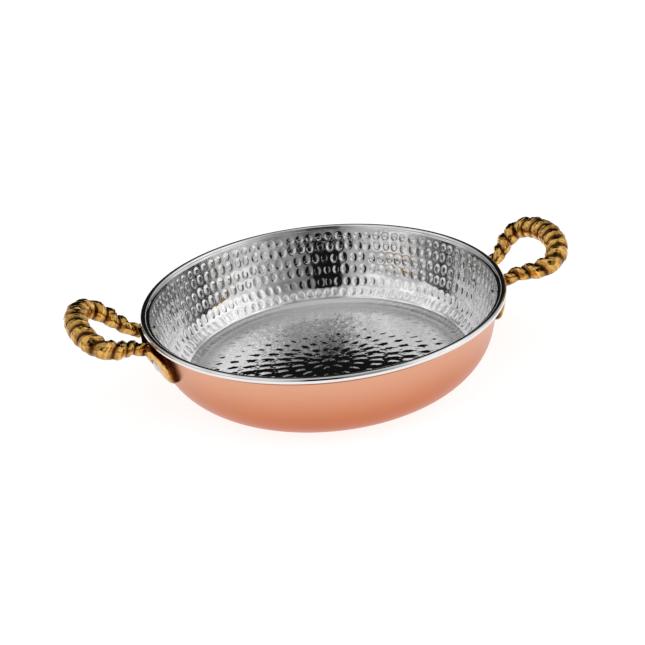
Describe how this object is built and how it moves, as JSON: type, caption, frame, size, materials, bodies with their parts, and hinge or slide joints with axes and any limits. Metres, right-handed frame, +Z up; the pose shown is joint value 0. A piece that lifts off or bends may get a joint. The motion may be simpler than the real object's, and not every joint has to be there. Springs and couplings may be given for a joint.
{
  "type": "two-handled copper frying pan",
  "caption": "Shallow round copper pan with a bright hammered lining turned over its rim and cast brass rope loop handles riveted to opposite sides of the wall.",
  "frame": {"origin": "centre of the flat base, on the surface the pan stands on", "axes": "+Z up along the pan's axis, +X through the middle of the right handle, -Y towards the viewer's side of the pan"},
  "size_m": [0.2798, 0.2, 0.0602],
  "materials": {
    "copper": null,
    "bright_lining": "polished and hammered",
    "brass": "cast, dark in the hollows and rubbed bright on the crests",
    "rivet_metal": "satin"
  },
  "bodies": {
    "root": {"copper_body": "copper", "bright_lining": "bright_lining", "right_handle": "brass", "left_handle": "brass", "right_handle_front_rivet": "rivet_metal", "right_handle_back_rivet": "rivet_metal", "left_handle_front_rivet": "rivet_metal", "left_handle_back_rivet": "rivet_metal"}
  },
  "joints": []
}
